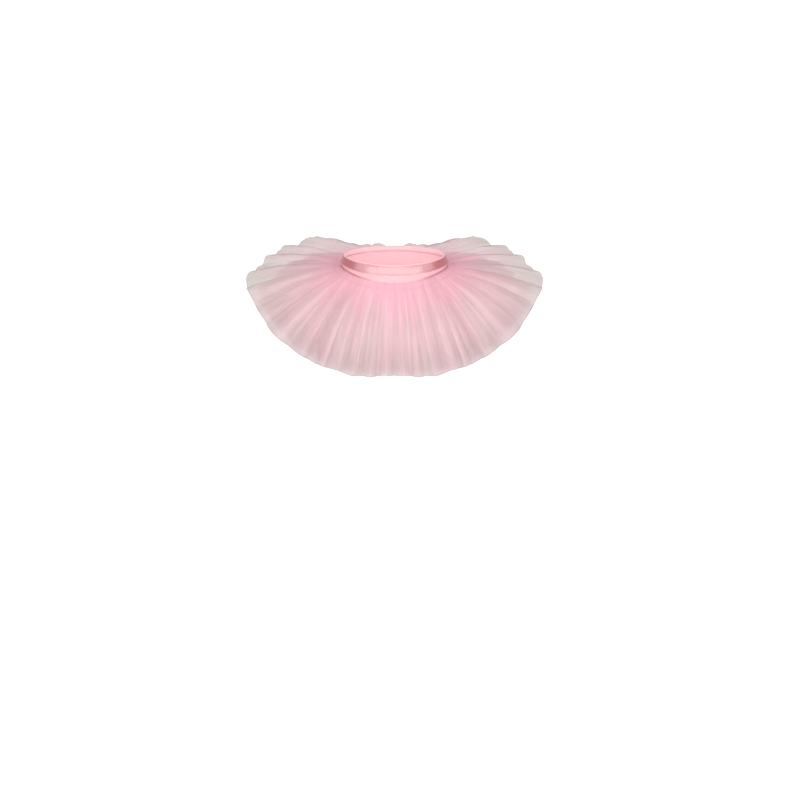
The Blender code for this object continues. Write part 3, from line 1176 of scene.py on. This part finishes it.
def pucker_wave(turn, count):
    """Uneven ripples round the waist, from -1 to 1."""
    waves, start, swell = PUCKER_SWELL
    uneven = 1 - swell + swell * np.cos(waves * turn + start)
    pushed = count * turn
    for waves, push in PUCKER_PUSHES:
        pushed = pushed + push * np.sin(waves * turn)
    more, share = FINE_PUCKERS
    waves, start, push = FINE_PUSH
    finer = np.cos((count + more) * turn + push * np.sin(waves * turn + start))
    return (1 - share) * np.cos(pushed) * uneven + share * finer


def strip_piece(name, turns, points, mark, values, material):
    """A strip of cloth round the waist, through the rings of its closed outline."""
    points = np.array(points)
    across = turns / FULL_TURN * BAND_LENGTH
    wide = np.cumsum(np.linalg.norm(points - np.roll(points, 1, axis=0), axis=2)[:, 0])
    along = np.broadcast_to(wide[:, None], points.shape[:2])
    mesh = grid_mesh(name, points, across, along, close_rows=True)
    store(mesh, mark, np.broadcast_to(values, points.shape[:2]))
    mesh.materials.append(material)
    return add_object(name, mesh)


def make_waistband(settings, material):
    """The satin band: crowned over its elastic, rolled at both edges and puckered, with
    its lapped seam at the centre back."""
    turns = even_turns(BAND_COLUMNS)
    shares, sides = edge_profile(*BAND_PROFILE, BAND_WALL / 2 / (BAND_TOP - BAND_BOTTOM))
    waves = settings.pucker_depth * pucker_wave(turns, settings.puckers)
    points = []
    for share, side in zip(shares, sides):
        shape = sum(bell(share, *roll) for roll in BAND_ROLLS) * settings.roll
        shape -= sum(bell(share, *groove) for groove in BAND_GROOVES) * BAND_GROOVE_DEPTH
        gripped = PUCKER_GRIP + sum(bell(share, middle, GRIP_WIDTH) for middle, _ in BAND_GROOVES)
        relief = shape + gripped * waves + lap_lift(turns)
        proud = band_relief(share) + side * BAND_WALL / 2 + max(side, 0.0) * relief
        points.append(place(turns, band_outset(share) + proud, band_height(turns, share)))
    # The folded edges take the lining's colour and roughness: a painted highlight that lightens
    # their shade.
    edge_painted_light = 1 - soft_step(*EDGE_PAINTED_LIGHT, np.minimum(shares, 1 - shares))
    inside = np.maximum(sides < -0.5, edge_painted_light)
    return strip_piece("satin_waistband", turns, points, "inside", inside[:, None], material)


def make_yoke(settings, material):
    """The matt strip under the band, folded at its lower edge, that carries the net."""
    turns = even_turns(BAND_COLUMNS)
    top = band_height(turns, 0.0) + YOKE_TUCK
    bottom = yoke_bottom(turns)
    turned = soft_step(*SEAM_SHADE_TURNS, half_turn(turns))
    ripple = YOKE_PUCKERS * settings.pucker_depth * pucker_wave(turns, settings.puckers)
    points, seams = [], []
    for share, side in zip(*edge_profile(*YOKE_PROFILE, YOKE_ROUND)):
        height = bottom + (top - bottom) * share
        above = height - row_height(0, turns)
        out = max(side, 0.0)
        # Painted shade along the seam with the net, from the front round to the sides.
        seams.append(out * turned * bell(above, SEAM_SHADE_UP, SEAM_SHADE_WIDTH))
        fold = settings.roll * bell(above, *YOKE_FOLD)
        bare = soft_step(0.0, BEHIND_BAND, band_height(turns, 0.0) - height)
        proud = side * YOKE_WALL / 2 + out * bare * (fold + ripple)
        points.append(place(turns, yoke_outset(turns, height) + proud, height))
    return strip_piece("matt_yoke", turns, points, "seam", np.array(seams), material)


def make_net_layer(layer, settings, tree, material):
    """One gathered layer of net, as a sheet through its rings."""
    columns, rings = NET_GRID[layer]
    sheet = net_sheet(layer, columns, rings, settings.cut_width)
    shares = np.linspace(-0.5, 0.5, columns, endpoint=False) + PATTERN_SHIFT * layer
    name = f"gathered_{NET_LAYERS[layer][0]}"
    mesh = grid_mesh(name, sheet["points"], shares * settings.cut_width, sheet["along"])
    for mark in NET_MARKS:
        store(mesh, mark, sheet[mark])
    piece = add_object(name, mesh)
    shape_with(
        piece, tree, gathers=float(settings.gathers - FEWER_GATHERS * layer),
        depth_at_the_row=ROW_GATHER_DEPTH,
        depth_at_the_hem=settings.gather_depth * (1 - GATHER_FADE * layer),
        held_down_to=LOWER_HOLD if layer else HOLD_ROW, unevenness=GATHER_PUSH,
        seed=float(settings.seed + layer), material=material)
    soften_shading(piece.data, sheet["broad"])
    return piece


def line_mesh(name, loops, closed):
    """Lines of sewing as edges, each through its own points."""
    points, edges = [], []
    for loop in loops:
        first = len(points)
        points.extend(loop)
        edges.extend((first + i, first + i + 1) for i in range(len(loop) - 1))
        if closed:
            edges.append((first + len(loop) - 1, first))
    mesh = bpy.data.meshes.new(name)
    mesh.from_pydata(points, edges, [])
    return mesh


def net_ring(piece, layer, along):
    """The ring of a layer's points that is nearest to this far along the net."""
    columns, rings = NET_GRID[layer]
    points = np.zeros(len(piece.data.vertices) * 3, np.float32)
    piece.data.vertices.foreach_get("co", points)
    points = points.reshape(rings, columns, 3)
    lengths = np.zeros(rings * columns, np.float32)
    piece.data.attributes["along"].data.foreach_get("value", lengths)
    ring = int(np.abs(lengths.reshape(rings, columns)[:, columns // 2] - along).argmin())
    return points[ring]


def sewn_line(turn, share, lift, thread):
    """Where thread lies on the band's outer side, which is lifted this far."""
    stands = band_relief(share) + lift + thread * THREAD_STANDS
    return place(turn, band_outset(share) + BAND_WALL / 2 + stands, band_height(turn, share))


def make_sewing(settings, net_pieces, tree, material):
    """The rows of stitches on the band, down its back seam and along the rows of net."""
    turns, thread = even_turns(BAND_COLUMNS), settings.thread
    lift = lap_lift(turns) - BAND_GROOVE_DEPTH
    band = [sewn_line(turns, share, lift, thread) for share, _ in BAND_GROOVES]
    shares = np.linspace(BAND_GROOVES[0][0], BAND_GROOVES[1][0], SEAM_POINTS)
    seams = []
    for side in (-1, 1):
        turn = math.pi - side * LAP_HALF_WIDTH * SEAM_ROWS_OUT / WAIST_HALF_WIDTH
        seams.append(sewn_line(np.full(SEAM_POINTS, turn), shares, LAP_THICKNESS, thread))
    rows = [net_ring(piece, layer, NET_SEWN_AT) for layer, piece in enumerate(net_pieces)]
    rows.append(net_ring(net_pieces[0], 0, HOLD_ROW))
    rows = [row + np.array((0.0, 0.0, thread)) for row in rows]
    made = []
    for name, loops, closed in (("band_stitches", band, True), ("seam_stitches", seams, False),
                                ("net_stitches", rows, True)):
        piece = add_object(name, line_mesh(name, [loop.tolist() for loop in loops], closed))
        made.append(shape_with(
            piece, tree, stitch=settings.stitch, spacing=settings.spacing, thread=thread,
            slant=STITCH_SLANT, seed=STITCH_SEED, material=material))
    return made


def add_light(lamp, place_at):
    """Hangs a light here, turned to the middle of the skirt."""
    light = bpy.data.objects.new(lamp.name, lamp)
    light.location = place_at
    light.rotation_mode = "QUATERNION"
    light.rotation_quaternion = Vector(place_at).to_track_quat("Z", "Y")
    bpy.context.scene.collection.objects.link(light)


def add_panel(name, size, power, place_at):
    """Hangs a soft panel of light here."""
    panel = bpy.data.lights.new(name, "AREA")
    panel.shape, panel.size, panel.size_y, panel.energy = "RECTANGLE", *size, power
    add_light(panel, place_at)


def before_skirt(distance, elevation, aside=0.0):
    """A place this far from the skirt, this high and this far round from its front."""
    level = distance * math.cos(elevation)
    return level * math.sin(aside), -level * math.cos(aside), distance * math.sin(elevation)


def make_floor(settings):
    """A plain pale floor."""
    mesh = bpy.data.meshes.new("floor")
    corners = [(x * FLOOR_HALF_SIZE, y * FLOOR_HALF_SIZE, -settings.floor_drop)
               for x, y in ((-1, -1), (1, -1), (1, 1), (-1, 1))]
    mesh.from_pydata(corners, [], [(0, 1, 2, 3)])
    floor = add_object("floor", mesh)
    material, nodes, shader = new_material("pale_floor")
    noise = nodes.noise(object_place(nodes), *FLOOR_PATCHES)
    factor = nodes.range(noise, *NOISE_SPAN, *FLOOR_TONE)
    colour = nodes.vector("SCALE", tuple(settings.floor_colour), factor)
    nodes.feed(shader["Base Color"], colour)
    nodes.feed(shader["Roughness"], nodes.range(noise, *NOISE_SPAN, *FLOOR_ROUGHNESS))
    shader["Emission Color"].default_value = (1.0, 1.0, 1.0, 1.0)
    shader["Emission Strength"].default_value = settings.floor_glow
    mesh.materials.append(material)


def make_stage(settings):
    """A plain pale floor, a white room, soft lights and the camera."""
    make_floor(settings)
    scene = bpy.context.scene
    scene.world = bpy.data.worlds.new("white_room")
    scene.world.use_nodes = True
    room = scene.world.node_tree.nodes["Background"].inputs
    room["Color"].default_value = ROOM_COLOUR
    room["Strength"].default_value = settings.room
    for degrees, width, share in ARC_PANELS:
        place_at = before_skirt(ARC_DISTANCE, ARC_ELEVATION, math.radians(degrees))
        add_panel("front_panel", (width, PANEL_HEIGHT), settings.front_light * share, place_at)
    add_panel("back_light", BACK_LIGHT_SIZE, settings.back_light, BACK_LIGHT_PLACE)
    top = bpy.data.lights.new("top_light", "SUN")
    top.energy, top.angle = settings.top_light, TOP_LIGHT_SPREAD
    add_light(top, TOP_LIGHT_PLACE)
    lens = bpy.data.cameras.new("camera")
    lens.lens, lens.sensor_width = CAMERA_LENS, CAMERA_SENSOR
    camera = bpy.data.objects.new("camera", lens)
    camera.location = (CAMERA_ASIDE, *before_skirt(CAMERA_DISTANCE, CAMERA_ELEVATION)[1:])
    camera.rotation_euler = Euler((math.pi / 2 - CAMERA_PITCH, 0.0, 0.0))
    scene.collection.objects.link(camera)
    scene.camera = camera
    scene.view_settings.view_transform = "Standard"
    scene.cycles.transparent_max_bounces = SHEER_LAYERS


def cloth_groups():
    """The shader node groups, made once."""
    found = bpy.data.node_groups
    if "hex_net" not in found:
        hex_net_group()
        cloth_tone_group()
        fine_weave_group()
        streaks_group()
    return {"net": found["hex_net"], "tone": found["cloth_tone"], "weave": found["fine_weave"],
            "streaks": found["gather_streaks"]}


class TutuStage(bpy.types.Operator):
    """Make the floor, the lights and the camera"""

    bl_idname = "tutu.make_stage"
    bl_label = "Stage"

    def execute(self, context):
        make_stage(context.scene.tutu_stage)
        return {"FINISHED"}


class TutuWaistband(bpy.types.Operator):
    """Make the satin waistband"""

    bl_idname = "tutu.make_waistband"
    bl_label = "Waistband"

    def execute(self, context):
        settings = context.scene.tutu_band
        band = make_waistband(settings, satin_material(settings, cloth_groups()))
        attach(band, BODY)
        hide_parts("waistband")
        return {"FINISHED"}


class TutuYoke(bpy.types.Operator):
    """Make the matt yoke under the waistband"""

    bl_idname = "tutu.make_yoke"
    bl_label = "Yoke"

    def execute(self, context):
        settings = context.scene.tutu_band
        yoke = make_yoke(settings, strip_material(settings, cloth_groups()))
        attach(yoke, BODY)
        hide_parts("yoke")
        return {"FINISHED"}


class TutuNet(bpy.types.Operator):
    """Make the gathered layers of net"""

    bl_idname = "tutu.make_net_layers"
    bl_label = "Net Layers"

    def execute(self, context):
        settings = context.scene.tutu_net
        material = net_material(settings, cloth_groups())
        tree = gather_tree()
        for layer, (name, _, length_share, _) in enumerate(NET_LAYERS):
            piece = make_net_layer(layer, settings, tree, material)
            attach(piece, BODY)
            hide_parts(name)
        return {"FINISHED"}


class TutuSewing(bpy.types.Operator):
    """Make the rows of stitches"""

    bl_idname = "tutu.make_sewing"
    bl_label = "Sewing"

    def execute(self, context):
        settings = context.scene.tutu_sewing
        layers = [bpy.data.objects[f"gathered_{row[0]}"] for row in NET_LAYERS]
        material = thread_material(settings, cloth_groups())
        for piece in make_sewing(settings, layers, stitch_tree(), material):
            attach(piece, BODY)
        return {"FINISHED"}


class TutuPanel(bpy.types.Panel):
    """Lists the pieces of the skirt with their settings"""

    bl_idname = "VIEW3D_PT_tutu_skirt"
    bl_label = "Tutu Skirt"
    bl_space_type = "VIEW_3D"
    bl_region_type = "UI"
    bl_category = "Tutu"

    def draw(self, context):
        for operators, settings in (
            ((TutuStage,), context.scene.tutu_stage),
            ((TutuWaistband, TutuYoke), context.scene.tutu_band),
            ((TutuNet,), context.scene.tutu_net),
            ((TutuSewing,), context.scene.tutu_sewing),
        ):
            box = self.layout.box()
            for operator in operators:
                box.operator(operator.bl_idname)
            for label in settings.__annotations__:
                box.prop(settings, label)


SETTINGS = (
    ("tutu_stage", StageSettings),
    ("tutu_band", BandSettings),
    ("tutu_net", NetSettings),
    ("tutu_sewing", SewingSettings),
)
OPERATORS = (TutuStage, TutuWaistband, TutuYoke, TutuNet, TutuSewing)


def register():
    """Makes the settings, the operators and the panel known to Blender."""
    for name, settings in SETTINGS:
        bpy.utils.register_class(settings)
        setattr(bpy.types.Scene, name, bpy.props.PointerProperty(type=settings))
    for operator in OPERATORS:
        bpy.utils.register_class(operator)
    bpy.utils.register_class(TutuPanel)


def unregister():
    """Takes them away again."""
    bpy.utils.unregister_class(TutuPanel)
    for operator in reversed(OPERATORS):
        bpy.utils.unregister_class(operator)
    for name, settings in reversed(SETTINGS):
        delattr(bpy.types.Scene, name)
        bpy.utils.unregister_class(settings)


def main():
    """Makes the whole skirt."""
    register()
    bpy.ops.tutu.make_stage()
    bpy.ops.tutu.make_waistband()
    bpy.ops.tutu.make_yoke()
    bpy.ops.tutu.make_net_layers()
    bpy.ops.tutu.make_sewing()


if __name__ == "__main__":
    main()
